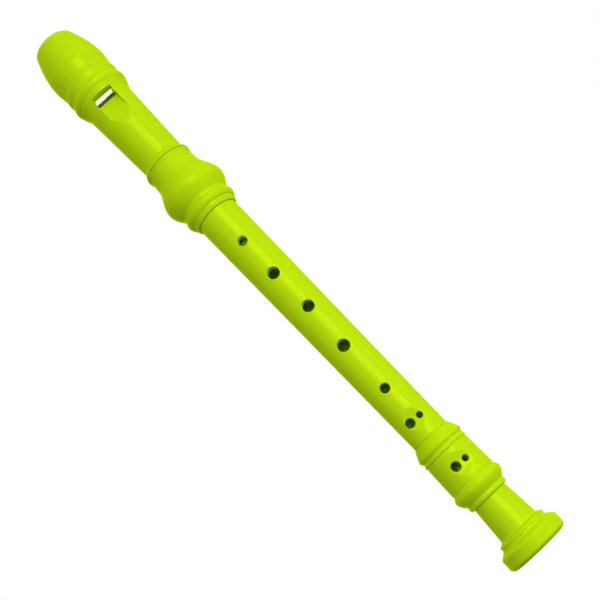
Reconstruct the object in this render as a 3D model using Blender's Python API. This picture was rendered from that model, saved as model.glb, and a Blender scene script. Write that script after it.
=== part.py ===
"""Soprano recorder in C, moulded in plastic, as it comes apart on a bench.

The recorder stands upright on its foot: +Z runs along the bore from the foot to the beak, the window and
the finger holes face the front (-Y), and the thumb hole faces the back (+Y). The origin is the centre of
the foot's end face. Each turned piece is drawn from its top downwards, the way a turner reads a drawing.
"""
from math import atan2, cos, pi, radians, sin, sqrt, tan

import bmesh
import bpy
from mathutils import Matrix, Vector

MM = 0.001

# Fineness of the round forms
TURN_STEPS = 40
DRILL_STEPS = 24

# Clearances
SEAM_GAP = 0.3 * MM
TENON_CLEARANCE = 0.2 * MM
GLUE_GAP = 0.3 * MM
TENON_END_GAP = 0.6 * MM

# How the joints are turned about the bore, seen from above, against the middle joint
HEAD_TURN = radians(3.3)
FOOT_TURN = radians(6.7)

# Bores
HEAD_BORE_RADIUS = 6.9 * MM
MIDDLE_BORE_TOP_RADIUS = 6.6 * MM
MIDDLE_BORE_END_RADIUS = 4.9 * MM
FOOT_BORE_RADIUS = 5.1 * MM
FOOT_MOUTH_RADIUS = 7.2 * MM
FOOT_MOUTH_DEPTH = 2.2 * MM

# Tenons and the spigot under the barrel
UPPER_TENON_RADIUS = 8.3 * MM
UPPER_TENON_LENGTH = 18.6 * MM
LOWER_TENON_RADIUS = 7.2 * MM
LOWER_TENON_LENGTH = 12.4 * MM
TENON_CHAMFER = 0.6 * MM
SPIGOT_RADIUS = 9.6 * MM
SPIGOT_LENGTH = 15.6 * MM

# Head joint: beak, from its tip down to the waist
BEAK_TIP_RADIUS = 11.35 * MM
BEAK_TIP_EDGE = 0.5 * MM
BEAK_RADIUS = 15.1 * MM
BEAK_FLARE_LENGTH = 19.1 * MM
WAIST_RADIUS = 14.35 * MM
WAIST_LENGTH = 8.9 * MM

# Head joint: the two beads above the window and the cove below them
FIRST_BEAD_HEIGHT = 4.6 * MM
FIRST_BEAD_RISE = 0.4 * MM
RING_GROOVE_HEIGHT = 1.0 * MM
RING_GROOVE_DEPTH = 0.25 * MM
SECOND_BEAD_HEIGHT = 4.8 * MM
SECOND_BEAD_RISE = 0.85 * MM
FILLET_HEIGHT = 1.7 * MM
FILLET_RISE = 0.3 * MM
FILLET_SETBACK = 0.3 * MM
COVE_HEIGHT = 5.2 * MM

# Head joint: tube and the collar that meets the barrel
HEAD_TUBE_TOP_RADIUS = 12.42 * MM
HEAD_TUBE_END_RADIUS = 11.03 * MM
HEAD_TUBE_LENGTH = 39.6 * MM
COLLAR_HEIGHT = 3.2 * MM
COLLAR_RADIUS = 12.5 * MM

# Chin cut of the beak, on the thumb side
CHIN_TIP_FORWARD = 4.0 * MM
CHIN_CUT_LENGTH = 27.0 * MM
CHIN_CUT_RADIUS = 46.0 * MM

# Windway, window and labium. A forward distance is measured from the bore's axis towards the front.
WINDWAY_LENGTH = 42.4 * MM
WINDWAY_WIDTH = 10.6 * MM
WINDWAY_FLOOR_IN = 7.0 * MM
WINDWAY_FLOOR_OUT = 7.5 * MM
WINDWAY_HEIGHT_IN = 1.3 * MM
WINDWAY_HEIGHT_OUT = 1.0 * MM
ROOF_CHAMFER = 0.2 * MM
BLOCK_CHAMFER = 0.9 * MM
WINDOW_LENGTH = 3.9 * MM
LABIUM_EDGE_FORWARD = 8.1 * MM
LABIUM_EDGE_THICKNESS = 0.3 * MM
LABIUM_RAMP_LENGTH = 16.6 * MM
LABIUM_RAMP_CROWN = 0.36 * MM
UNDERCUT_LENGTH = 8.5 * MM
WALL_DRAFT = 0.08

# Socket barrel, from the seam with the head's collar down to the mouth
BARREL_LIP_DROP = 1.9 * MM
BARREL_NECK_RADIUS = 11.8 * MM
BARREL_NECK_HEIGHT = 5.8 * MM
BARREL_NECK_END_RADIUS = 12.15 * MM
BULGE_RADIUS = 16.23 * MM
BULGE_RISE_HEIGHT = 11.5 * MM
BULGE_RISE_LEAD = 0.17
BULGE_FALL_HEIGHT = 7.4 * MM
BULGE_FOOT_RADIUS = 12.7 * MM
BARREL_GROOVE_HEIGHT = 1.4 * MM
BARREL_RING_HEIGHT = 4.6 * MM
BARREL_RING_RISE = 0.95 * MM
BARREL_STEP = 0.5 * MM
MOUTH_LIP_RADIUS = 12.1 * MM
MOUTH_LIP_HEIGHT = 2.8 * MM
MOUTH_RADIUS = 11.3 * MM

# Middle joint
MIDDLE_LENGTH = 139.3 * MM
MIDDLE_TOP_RADIUS = 10.5 * MM
MIDDLE_END_RADIUS = 9.05 * MM
SHOULDER_EDGE = 0.25 * MM

# Finger holes of the middle joint: height above its lower shoulder, offset to the right, diameter
HOLE_1_HEIGHT = 118.9 * MM
HOLE_1_DIAMETER = 4.6 * MM
HOLE_2_HEIGHT = 98.1 * MM
HOLE_2_DIAMETER = 5.7 * MM
HOLE_3_HEIGHT = 76.3 * MM
HOLE_3_OFFSET = 0.9 * MM
HOLE_3_DIAMETER = 5.7 * MM
HOLE_4_HEIGHT = 52.7 * MM
HOLE_4_DIAMETER = 5.8 * MM
HOLE_5_HEIGHT = 27.0 * MM
HOLE_5_DIAMETER = 4.5 * MM
HOLE_6_HEIGHT = 9.0 * MM
THUMB_HOLE_HEIGHT = 121.0 * MM
THUMB_HOLE_DIAMETER = 5.2 * MM
THUMB_HOLE_LEAN = radians(12.0)

# Doubled holes 6 and 7, each pair in a shallow dish
PAIR_MAIN_DIAMETER = 4.4 * MM
PAIR_SMALL_DIAMETER = 2.9 * MM
PAIR_SPACING = 5.35 * MM
DISH_DEPTH = 1.1 * MM
DISH_CURVE_RADIUS = 11.0 * MM

# Foot joint, from its rim down to the bell
FOOT_RIM_RADIUS = 9.5 * MM
FOOT_CONE_HEIGHT = 4.2 * MM
FOOT_BODY_TOP_RADIUS = 11.02 * MM
FOOT_RING_RISE = 0.95 * MM
FOOT_RING_HEIGHT = 2.5 * MM
FOOT_GROOVE_HEIGHT = 0.6 * MM
FOOT_GROOVE_DEPTH = 0.2 * MM
FOOT_BEAD_HEIGHT = 1.9 * MM
FOOT_BEAD_RISE = 0.38 * MM
FOOT_BODY_HEIGHT = 14.3 * MM
FOOT_BODY_END_RADIUS = 11.3 * MM
FOOT_BULGE_RISE_HEIGHT = 3.0 * MM
FOOT_BULGE_RADIUS = 12.35 * MM
FOOT_BULGE_FALL_HEIGHT = 4.5 * MM
NECK_BEAD_RADIUS = 9.75 * MM
NECK_BEAD_HEIGHT = 2.2 * MM
NECK_BEAD_RISE = 0.25 * MM
NECK_TOP_RADIUS = 8.45 * MM
NECK_FILLET_HEIGHT = 0.6 * MM
NECK_LENGTH = 15.8 * MM
NECK_END_RADIUS = 9.55 * MM
BELL_COVE_HEIGHT = 1.5 * MM
BELL_COLLAR_RADIUS = 11.6 * MM
BELL_COLLAR_HEIGHT = 1.3 * MM
BELL_COLLAR_RISE = 0.2 * MM
BELL_FLARE_HEIGHT = 2.4 * MM
BELL_SHOULDER_RADIUS = 14.2 * MM
BELL_SHOULDER_HEIGHT = 1.1 * MM
BELL_RADIUS = 14.87 * MM
BELL_LENGTH = 4.3 * MM
BELL_EDGE = 1.7 * MM

# Hole 7 pair: height above the foot's end face
HOLE_7_HEIGHT = 46.2 * MM

# Colours
LIME = (0.42, 0.68, 0.012, 1.0)
IVORY = (0.86, 0.86, 0.80, 1.0)


def between(a, b, t):
    return a + (b - a) * t


class Turning:
    """A half section of a turned piece, as (radius, height) points, followed from the top down."""

    def __init__(self, radius, height=0.0):
        self.points = [(radius, height)]

    @property
    def radius(self):
        return self.points[-1][0]

    @property
    def height(self):
        return self.points[-1][1]

    def to(self, radius, height):
        self.points.append((radius, height))

    def step(self, radius):
        self.to(radius, self.height)

    def straight(self, drop, radius):
        self.to(radius, self.height - drop)

    def curve(self, drop, shape, segments):
        """Follow shape(t), a radius for t from 0 at the top of the drop to 1 at its end."""
        top = self.height
        for i in range(1, segments + 1):
            t = i / segments
            self.to(shape(t), top - drop * t)

    def swell(self, drop, radius, segments=6, lead=0.0):
        """An S-curve, flush with the axis at both ends. With a lead it starts that share of the way along."""
        start = self.radius
        skipped = (1 - cos(pi * lead)) / 2

        def shape(t):
            risen = (1 - cos(pi * between(lead, 1, t))) / 2
            return start + (radius - start) * (risen - skipped) / (1 - skipped)

        self.curve(drop, shape, segments)

    def dome(self, drop, radius, segments=5):
        """A rounded quarter whose flat end is the wider one."""
        start = self.radius
        if radius > start:
            self.curve(drop, lambda t: start + (radius - start) * sin(pi * t / 2), segments)
        else:
            self.curve(drop, lambda t: radius + (start - radius) * cos(pi * t / 2), segments)

    def cove(self, drop, radius, segments=4):
        """A hollow quarter whose flat end is the narrower one."""
        start = self.radius
        if radius > start:
            self.curve(drop, lambda t: radius - (radius - start) * cos(pi * t / 2), segments)
        else:
            self.curve(drop, lambda t: start - (start - radius) * sin(pi * t / 2), segments)

    def bead(self, drop, rise, radius=None, segments=4):
        """A half round that stands out by rise, ending at the given radius."""
        start = self.radius
        end = start if radius is None else radius
        self.curve(drop, lambda t: start + (end - start) * t + rise * sin(pi * t), segments)

    def radius_at(self, height):
        """Radius of the outer side at a height."""
        for (r1, z1), (r2, z2) in zip(self.points, self.points[1:]):
            if z2 <= height < z1:
                return between(r1, r2, (z1 - height) / (z1 - z2))
        return self.radius

    def stand_on(self, height):
        """Move the points up or down, so that the last one is at the given height."""
        shift = height - self.height
        self.points = [(radius, z + shift) for radius, z in self.points]


def clear_scene():
    for obj in list(bpy.data.objects):
        bpy.data.objects.remove(obj, do_unlink=True)


def plastic(name, colour, roughness):
    material = bpy.data.materials.new(name)
    material.use_nodes = True
    shader = material.node_tree.nodes["Principled BSDF"]
    shader.inputs["Base Color"].default_value = colour
    shader.inputs["Roughness"].default_value = roughness
    shader.inputs["Metallic"].default_value = 0.0
    material.diffuse_color = colour
    return material


def object_from(bm, name, material=None):
    """Turn a bmesh into an object of the scene, round faces smooth and edges over 30 degrees sharp."""
    bmesh.ops.recalc_face_normals(bm, faces=bm.faces)
    mesh = bpy.data.meshes.new(name)
    bm.to_mesh(mesh)
    bm.free()
    mesh.shade_smooth()
    mesh.set_sharp_from_angle(angle=radians(30))
    obj = bpy.data.objects.new(name, mesh)
    if material:
        mesh.materials.append(material)
    bpy.context.scene.collection.objects.link(obj)
    return obj


def turned(name, outline, material):
    """Spin a closed half section about the bore's axis."""
    bm = bmesh.new()
    verts = [bm.verts.new((radius, 0.0, z)) for radius, z in outline.points]
    edges = [bm.edges.new((a, b)) for a, b in zip(verts, verts[1:] + verts[:1])]
    bmesh.ops.spin(bm, geom=verts + edges, cent=(0, 0, 0), axis=(0, 0, 1), dvec=(0, 0, 0),
                   angle=2 * pi, steps=TURN_STEPS, use_merge=True, use_duplicate=False)
    return object_from(bm, name, material)


def as_cutter(obj):
    obj.hide_render = True
    obj.display_type = "WIRE"
    return obj


def cut(obj, cutter):
    """Take the cutter's shape out of a piece. The cutter follows the piece's place."""
    cutter.parent = obj
    modifier = obj.modifiers.new(cutter.name, "BOOLEAN")
    modifier.operation = "DIFFERENCE"
    modifier.solver = "EXACT"
    modifier.object = cutter


def prism_across(name, side_view, half_width):
    """A cutter drawn in side view as (forward, height) points; half_width gives its reach at a point."""
    bm = bmesh.new()
    left = [bm.verts.new((-half_width(forward), -forward, z)) for forward, z in side_view]
    right = [bm.verts.new((half_width(forward), -forward, z)) for forward, z in side_view]
    bm.faces.new(left)
    bm.faces.new(reversed(right))
    count = len(side_view)
    for i in range(count):
        j = (i + 1) % count
        bm.faces.new((left[i], right[i], right[j], left[j]))
    return as_cutter(object_from(bm, name))


def drill(bm, diameter, start, end):
    """Add a drill's cylinder between two points to a cutter's bmesh."""
    along = end - start
    turn = along.to_track_quat("Z", "Y").to_matrix().to_4x4()
    half_facet = Matrix.Rotation(pi / DRILL_STEPS, 4, "Z")
    place = Matrix.Translation((start + end) / 2) @ turn @ half_facet
    bmesh.ops.create_cone(bm, cap_ends=True, segments=DRILL_STEPS, radius1=diameter / 2,
                          radius2=diameter / 2, depth=along.length, matrix=place)


def front_hole(bm, diameter, height, offset, reach):
    """A finger hole, from outside the front down to the bore's axis."""
    drill(bm, diameter, Vector((offset, -reach, height)), Vector((offset, 0, height)))


def thumb_hole(bm, surface_radius, reach):
    """The thumb hole leans: it climbs on its way in from the back of the tube to the bore's axis."""
    climb = tan(THUMB_HOLE_LEAN)
    drill(bm, THUMB_HOLE_DIAMETER, Vector((0, 0, THUMB_HOLE_HEIGHT + surface_radius * climb)),
          Vector((0, reach, THUMB_HOLE_HEIGHT - (reach - surface_radius) * climb)))


def hole_pair(bm, height, reach):
    """A doubled hole: the main one to the left, the small one to the right."""
    front_hole(bm, PAIR_MAIN_DIAMETER, height, -PAIR_SPACING / 2, reach)
    front_hole(bm, PAIR_SMALL_DIAMETER, height, PAIR_SPACING / 2, reach)


def dish(name, height, surface_radius):
    """The shallow dish round a doubled hole: a cylinder lying across the front."""
    bm = bmesh.new()
    forward = surface_radius - DISH_DEPTH + DISH_CURVE_RADIUS
    drill(bm, 2 * DISH_CURVE_RADIUS, Vector((-surface_radius, -forward, height)),
          Vector((surface_radius, -forward, height)))
    return as_cutter(object_from(bm, name))


# Head joint

def head_outline():
    """Beak, beads, cove, tube and collar, then the spigot and the bore. Height 0 is the seam."""
    out = Turning(BEAK_TIP_RADIUS - BEAK_TIP_EDGE)
    out.straight(BEAK_TIP_EDGE, BEAK_TIP_RADIUS)
    out.dome(BEAK_FLARE_LENGTH, BEAK_RADIUS, segments=7)
    out.swell(WAIST_LENGTH, WAIST_RADIUS, segments=4)
    groove_radius = WAIST_RADIUS - RING_GROOVE_DEPTH
    out.bead(FIRST_BEAD_HEIGHT, FIRST_BEAD_RISE, groove_radius)
    out.straight(RING_GROOVE_HEIGHT, groove_radius)
    out.bead(SECOND_BEAD_HEIGHT, SECOND_BEAD_RISE, segments=6)
    out.step(groove_radius - FILLET_SETBACK)
    out.bead(FILLET_HEIGHT, FILLET_RISE, segments=3)
    out.cove(COVE_HEIGHT, HEAD_TUBE_TOP_RADIUS)
    out.straight(HEAD_TUBE_LENGTH, HEAD_TUBE_END_RADIUS)
    out.dome(COLLAR_HEIGHT, COLLAR_RADIUS)
    out.stand_on(0.0)
    out.step(SPIGOT_RADIUS)
    out.straight(SPIGOT_LENGTH - TENON_CHAMFER, SPIGOT_RADIUS)
    out.straight(TENON_CHAMFER, SPIGOT_RADIUS - TENON_CHAMFER)
    out.step(HEAD_BORE_RADIUS)
    out.to(HEAD_BORE_RADIUS, out.points[0][1])
    return out


def windway_half_width(forward):
    """Half the width of windway and window, which open outwards by the mould's draft."""
    return WINDWAY_WIDTH / 2 + WALL_DRAFT * (forward - LABIUM_EDGE_FORWARD)


def ramp_side_view(outline, edge_height, segments=5):
    """The labium's ramp from its sharp edge down to where it runs out on the tube."""
    end_forward = outline.radius_at(edge_height - LABIUM_RAMP_LENGTH)
    points = []
    for i in range(segments + 1):
        t = i / segments
        forward = between(LABIUM_EDGE_FORWARD, end_forward, t) + LABIUM_RAMP_CROWN * 4 * t * (1 - t)
        points.append((forward, edge_height - LABIUM_RAMP_LENGTH * t))
    return points


def voicing_cutter(outline):
    """Windway, window, labium ramp and undercut in one side view, cut across the head joint."""
    outside = 2 * BEAK_RADIUS
    tip_height = outline.points[0][1]
    past_tip = tip_height + BEAK_TIP_EDGE
    window_top = tip_height - WINDWAY_LENGTH
    edge_height = window_top - WINDOW_LENGTH
    roof_out = WINDWAY_FLOOR_OUT + WINDWAY_HEIGHT_OUT
    roof_in = WINDWAY_FLOOR_IN + WINDWAY_HEIGHT_IN
    ramp = ramp_side_view(outline, edge_height)
    side_view = [(0.0, past_tip), (roof_in, past_tip), (roof_in, tip_height)]
    side_view += [(roof_out, window_top + ROOF_CHAMFER), (roof_out + ROOF_CHAMFER, window_top)]
    side_view += [(outside, window_top), (outside, ramp[-1][1])]
    side_view += reversed(ramp)
    side_view += [(LABIUM_EDGE_FORWARD - LABIUM_EDGE_THICKNESS, edge_height)]
    side_view += [(HEAD_BORE_RADIUS - LABIUM_EDGE_THICKNESS, edge_height - UNDERCUT_LENGTH)]
    side_view += [(0.0, edge_height - UNDERCUT_LENGTH)]
    return prism_across("voicing_cutter", side_view, windway_half_width)


def chin_cutter(name, tip_height, segments=8):
    """The hollow under the beak, an arc in side view, for the player's chin."""
    tip = Vector((CHIN_TIP_FORWARD, tip_height))
    back = Vector((-BEAK_RADIUS, tip_height - CHIN_CUT_LENGTH))
    chord = back - tip
    away = Vector((chord.y, -chord.x)).normalized()
    rise = sqrt(CHIN_CUT_RADIUS ** 2 - (chord.length / 2) ** 2)
    centre = (tip + back) / 2 + away * rise
    side_view = []
    first = tip - centre
    sweep = first.angle_signed(back - centre)
    over = 0.12 * sweep
    for i in range(segments + 1):
        turn = between(-over, sweep + over, i / segments)
        point = centre + Vector((first.x * cos(turn) + first.y * sin(turn),
                                 first.y * cos(turn) - first.x * sin(turn)))
        side_view.append((point.x, point.y))
    outside = -2 * BEAK_RADIUS
    side_view += [(outside, side_view[-1][1]), (outside, side_view[0][1])]
    return prism_across(name, side_view, lambda forward: 2 * BEAK_RADIUS)


def make_head_joint(material):
    outline = head_outline()
    tip_height = outline.points[0][1]
    head = turned("head_joint", outline, material)
    cut(head, chin_cutter("head_chin_cutter", tip_height))
    cut(head, voicing_cutter(outline))
    return head, tip_height


# Block

def rib_corner(radius):
    """Where the block's flat side meets its round side: the forward distance on a circle of that radius."""
    side_on_axis = windway_half_width(0.0) - GLUE_GAP
    a = 1 + WALL_DRAFT ** 2
    b = 2 * WALL_DRAFT * side_on_axis
    c = side_on_axis ** 2 - radius ** 2
    return (sqrt(b ** 2 - 4 * a * c) - b) / (2 * a)


def block_section(floor, height, arc_segments=18):
    """One cross-section of the block: round below, with the windway's floor on top."""
    radius = HEAD_BORE_RADIUS - GLUE_GAP
    corner = rib_corner(radius)
    start = atan2(windway_half_width(corner) - GLUE_GAP, corner)
    points = []
    for i in range(arc_segments + 1):
        turn = between(start, 2 * pi - start, i / arc_segments)
        points.append(Vector((radius * sin(turn), -radius * cos(turn), height)))
    floor_side = windway_half_width(floor) - GLUE_GAP
    points.append(Vector((-floor_side, -floor, height)))
    points.append(Vector((floor_side, -floor, height)))
    return points


def make_block(material, tip_height):
    """The plug that fills the head's bore from the window to the beak's tip."""
    window_top = tip_height - WINDWAY_LENGTH
    sections = [
        block_section(WINDWAY_FLOOR_OUT - BLOCK_CHAMFER, window_top),
        block_section(WINDWAY_FLOOR_OUT, window_top + BLOCK_CHAMFER),
        block_section(WINDWAY_FLOOR_IN, tip_height),
    ]
    bm = bmesh.new()
    loops = [[bm.verts.new(point) for point in section] for section in sections]
    count = len(loops[0])
    for lower, upper in zip(loops, loops[1:]):
        for i in range(count):
            j = (i + 1) % count
            bm.faces.new((lower[i], lower[j], upper[j], upper[i]))
    bm.faces.new(reversed(loops[0]))
    bm.faces.new(loops[-1])
    block = object_from(bm, "block", material)
    cut(block, chin_cutter("block_chin_cutter", tip_height))
    return block


# Socket barrel

def barrel_outline():
    """The bulge with its ring and mouth, then the two sockets inside. Height 0 is the mouth."""
    out = Turning(COLLAR_RADIUS)
    out.dome(BARREL_LIP_DROP, BARREL_NECK_RADIUS, segments=3)
    out.straight(BARREL_NECK_HEIGHT, BARREL_NECK_END_RADIUS)
    out.swell(BULGE_RISE_HEIGHT, BULGE_RADIUS, segments=8, lead=BULGE_RISE_LEAD)
    out.dome(BULGE_FALL_HEIGHT, BULGE_FOOT_RADIUS, segments=6)
    out.straight(BARREL_GROOVE_HEIGHT, BULGE_FOOT_RADIUS)
    out.bead(BARREL_RING_HEIGHT, BARREL_RING_RISE, MOUTH_LIP_RADIUS + BARREL_STEP, segments=6)
    out.step(MOUTH_LIP_RADIUS)
    out.dome(MOUTH_LIP_HEIGHT, MOUTH_RADIUS, segments=3)
    out.stand_on(0.0)
    top = out.points[0][1]
    spigot_end = top + SEAM_GAP - SPIGOT_LENGTH
    tenon_socket = UPPER_TENON_RADIUS + TENON_CLEARANCE
    spigot_socket = SPIGOT_RADIUS + GLUE_GAP
    out.step(tenon_socket)
    out.to(tenon_socket, spigot_end - GLUE_GAP)
    out.step(spigot_socket)
    out.to(spigot_socket, top)
    return out


def make_socket_barrel(material):
    outline = barrel_outline()
    return turned("socket_barrel", outline, material), outline.points[0][1]


# Middle joint

def middle_outline():
    """The tube with a tenon at each end and the tapered bore. Height 0 is the lower shoulder."""
    top = MIDDLE_LENGTH + UPPER_TENON_LENGTH
    out = Turning(UPPER_TENON_RADIUS - TENON_CHAMFER, top)
    out.straight(TENON_CHAMFER, UPPER_TENON_RADIUS)
    out.to(UPPER_TENON_RADIUS, MIDDLE_LENGTH)
    out.step(MIDDLE_TOP_RADIUS - SHOULDER_EDGE)
    out.straight(SHOULDER_EDGE, MIDDLE_TOP_RADIUS)
    out.to(MIDDLE_END_RADIUS, 0.0)
    out.step(LOWER_TENON_RADIUS)
    out.straight(LOWER_TENON_LENGTH - TENON_CHAMFER, LOWER_TENON_RADIUS)
    out.straight(TENON_CHAMFER, LOWER_TENON_RADIUS - TENON_CHAMFER)
    out.step(MIDDLE_BORE_END_RADIUS)
    out.to(MIDDLE_BORE_TOP_RADIUS, top)
    return out


def finger_hole_cutter(outline):
    reach = 1.5 * MIDDLE_TOP_RADIUS
    bm = bmesh.new()
    front_hole(bm, HOLE_1_DIAMETER, HOLE_1_HEIGHT, 0.0, reach)
    front_hole(bm, HOLE_2_DIAMETER, HOLE_2_HEIGHT, 0.0, reach)
    front_hole(bm, HOLE_3_DIAMETER, HOLE_3_HEIGHT, HOLE_3_OFFSET, reach)
    front_hole(bm, HOLE_4_DIAMETER, HOLE_4_HEIGHT, 0.0, reach)
    front_hole(bm, HOLE_5_DIAMETER, HOLE_5_HEIGHT, 0.0, reach)
    hole_pair(bm, HOLE_6_HEIGHT, reach)
    thumb_hole(bm, outline.radius_at(THUMB_HOLE_HEIGHT), reach)
    return as_cutter(object_from(bm, "middle_hole_cutter"))


def make_middle_joint(material):
    outline = middle_outline()
    middle = turned("middle_joint", outline, material)
    cut(middle, dish("hole_6_dish_cutter", HOLE_6_HEIGHT, outline.radius_at(HOLE_6_HEIGHT)))
    cut(middle, finger_hole_cutter(outline))
    return middle


# Foot joint

def foot_outline():
    """Rim, cone, rings, body, bulge, neck and bell, then the bore and the socket. Height 0 is the end."""
    groove_radius = FOOT_BODY_TOP_RADIUS - FOOT_GROOVE_DEPTH
    out = Turning(FOOT_RIM_RADIUS)
    out.straight(FOOT_CONE_HEIGHT, FOOT_BODY_TOP_RADIUS + FOOT_RING_RISE / 2)
    out.bead(FOOT_RING_HEIGHT, FOOT_RING_RISE / 2, groove_radius, segments=3)
    out.straight(FOOT_GROOVE_HEIGHT, groove_radius)
    out.bead(FOOT_BEAD_HEIGHT, FOOT_BEAD_RISE + FOOT_GROOVE_DEPTH, segments=3)
    out.straight(FOOT_GROOVE_HEIGHT, FOOT_BODY_TOP_RADIUS)
    out.straight(FOOT_BODY_HEIGHT, FOOT_BODY_END_RADIUS)
    out.straight(FOOT_GROOVE_HEIGHT / 2, FOOT_BODY_END_RADIUS - FOOT_GROOVE_DEPTH)
    out.swell(FOOT_BULGE_RISE_HEIGHT, FOOT_BULGE_RADIUS, segments=4)
    out.dome(FOOT_BULGE_FALL_HEIGHT, NECK_BEAD_RADIUS, segments=4)
    out.bead(NECK_BEAD_HEIGHT, NECK_BEAD_RISE, segments=3)
    out.cove(NECK_FILLET_HEIGHT, NECK_TOP_RADIUS, segments=2)
    out.straight(NECK_LENGTH, NECK_END_RADIUS)
    out.cove(BELL_COVE_HEIGHT, BELL_COLLAR_RADIUS, segments=3)
    out.bead(BELL_COLLAR_HEIGHT, BELL_COLLAR_RISE, segments=3)
    out.cove(BELL_FLARE_HEIGHT, BELL_SHOULDER_RADIUS, segments=4)
    out.dome(BELL_SHOULDER_HEIGHT, BELL_RADIUS, segments=3)
    out.straight(BELL_LENGTH, BELL_RADIUS)
    out.dome(BELL_EDGE, BELL_RADIUS - BELL_EDGE, segments=4)
    out.stand_on(0.0)
    top = out.points[0][1]
    socket_floor = top + SEAM_GAP - LOWER_TENON_LENGTH - TENON_END_GAP
    socket_radius = LOWER_TENON_RADIUS + TENON_CLEARANCE
    out.step(FOOT_MOUTH_RADIUS)
    out.to(FOOT_BORE_RADIUS, FOOT_MOUTH_DEPTH)
    out.to(MIDDLE_BORE_END_RADIUS, socket_floor)
    out.step(socket_radius)
    out.to(socket_radius, top)
    return out


def make_foot_joint(material):
    outline = foot_outline()
    top = outline.points[0][1]
    foot = turned("foot_joint", outline, material)
    cut(foot, dish("hole_7_dish_cutter", HOLE_7_HEIGHT, outline.radius_at(HOLE_7_HEIGHT)))
    bm = bmesh.new()
    hole_pair(bm, HOLE_7_HEIGHT, 1.5 * BELL_RADIUS)
    cut(foot, as_cutter(object_from(bm, "foot_hole_cutter")))
    return foot, top


def main():
    clear_scene()
    lime = plastic("lime_plastic", LIME, 0.28)
    ivory = plastic("ivory_plastic", IVORY, 0.35)

    foot, foot_top = make_foot_joint(lime)
    foot.rotation_euler.z = FOOT_TURN

    middle = make_middle_joint(lime)
    middle.location.z = foot_top + SEAM_GAP

    head_axis = bpy.data.objects.new("head_axis", None)
    bpy.context.scene.collection.objects.link(head_axis)
    head_axis.location.z = middle.location.z + MIDDLE_LENGTH + SEAM_GAP
    head_axis.rotation_euler.z = HEAD_TURN

    barrel, barrel_top = make_socket_barrel(lime)
    head, tip_height = make_head_joint(lime)
    block = make_block(ivory, tip_height)
    barrel.parent = head_axis
    for piece in (head, block):
        piece.parent = head_axis
        piece.location.z = barrel_top + SEAM_GAP


if __name__ == "__main__":
    main()
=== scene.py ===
"""Soprano recorder in lime-green plastic: the finished look of the turned, drilled and voiced joints.

Run as a script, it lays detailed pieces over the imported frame, each on its own body, and sets a plain
white stage with the camera of the photograph. Heights are in metres above the floor the foot stands on.
"""
from math import atan2, ceil, copysign, cos, floor, hypot, pi, radians, sin, sqrt, tan

import bmesh
import bpy
from bpy.props import FloatProperty, FloatVectorProperty, IntProperty, PointerProperty
from bpy.types import Operator, Panel, PropertyGroup
from mathutils import Matrix, Vector


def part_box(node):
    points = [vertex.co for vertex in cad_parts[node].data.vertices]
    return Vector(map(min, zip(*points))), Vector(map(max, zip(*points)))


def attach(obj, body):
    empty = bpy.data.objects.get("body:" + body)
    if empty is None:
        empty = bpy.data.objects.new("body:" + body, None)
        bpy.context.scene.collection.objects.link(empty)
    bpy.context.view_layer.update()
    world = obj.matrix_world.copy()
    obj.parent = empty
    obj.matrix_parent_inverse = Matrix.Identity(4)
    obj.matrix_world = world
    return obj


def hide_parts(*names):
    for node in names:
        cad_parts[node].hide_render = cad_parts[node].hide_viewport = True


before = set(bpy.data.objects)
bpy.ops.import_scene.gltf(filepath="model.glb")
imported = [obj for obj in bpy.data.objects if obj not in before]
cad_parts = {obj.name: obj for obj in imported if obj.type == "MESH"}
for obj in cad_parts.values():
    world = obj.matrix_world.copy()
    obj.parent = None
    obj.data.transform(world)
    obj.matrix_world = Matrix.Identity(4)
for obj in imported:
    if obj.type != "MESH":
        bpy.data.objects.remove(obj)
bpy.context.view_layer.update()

bl_info = {
    "name": "Soprano recorder",
    "version": (1, 0, 0),
    "blender": (4, 5, 0),
    "location": "3D View > Sidebar > Recorder",
    "description": "Models a plastic soprano recorder piece by piece and sets its stage",
    "category": "Add Mesh",
}

MM = 0.001


def mm(*values):
    """Lengths in millimetres, turned into metres."""
    return [value * MM for value in values]


# Seam heights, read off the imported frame, and the gap that its solids leave at each seam
FOOT_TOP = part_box("foot_joint")[1].z
BARREL_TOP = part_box("socket_barrel")[1].z
BARREL_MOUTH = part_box("socket_barrel")[0].z
BEAK_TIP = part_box("head_joint")[1].z
SEAM_GAP = 0.3 * MM

# How head and foot are turned about the bore, against the middle joint
HEAD_TURN = radians(3.3)
FOOT_TURN = radians(6.7)

# Points this near are one point, and rings this near in height are one ring
SAME_PLACE, SAME_HEIGHT = 0.001 * MM, 1e-7

# How far a cutter reaches past what it cuts, and the faces round a bore
CUT_OVER = 1.0 * MM
BORE_COLUMNS = 96

# Edges that bend by more stay sharp in the shading
SMOOTH_ANGLE = radians(30)

# Bevel at the end of each tenon and of the spigot
TENON_CHAMFER = 0.6 * MM


# Settings

def length(name, description, default):
    return FloatProperty(name=name, description=description, default=default, min=0.0,
                         subtype="DISTANCE", unit="LENGTH", precision=5)


def factor(name, description, default):
    return FloatProperty(name=name, description=description, default=default,
                         min=0.0, max=1.0, subtype="FACTOR")


def colour(name, description, default):
    return FloatVectorProperty(name=name, description=description, default=default, size=4,
                               min=0.0, max=1.0, subtype="COLOR")


def radiance(name, description, default):
    return FloatProperty(name=name, description=description, default=default, min=0.0)


class PlasticSettings(PropertyGroup):
    lime: colour("Lime", "Colour of the four green mouldings", (0.52, 0.76, 0.018, 1.0))
    sheen_tint: colour("Highlight tint", "Tint of the green highlights", (0.62, 0.92, 0.05, 1.0))
    ivory: colour("Block", "Colour of the block", (0.87, 0.85, 0.63, 1.0))
    depth_tint: colour("Depth tint", "What the green plastic lets through", (0.97, 1.0, 0.3, 1.0))
    lime_roughness: factor("Lime roughness", "How matt the green plastic is", 0.12)
    ivory_roughness: factor("Block roughness", "How matt the block is", 0.38)


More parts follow.
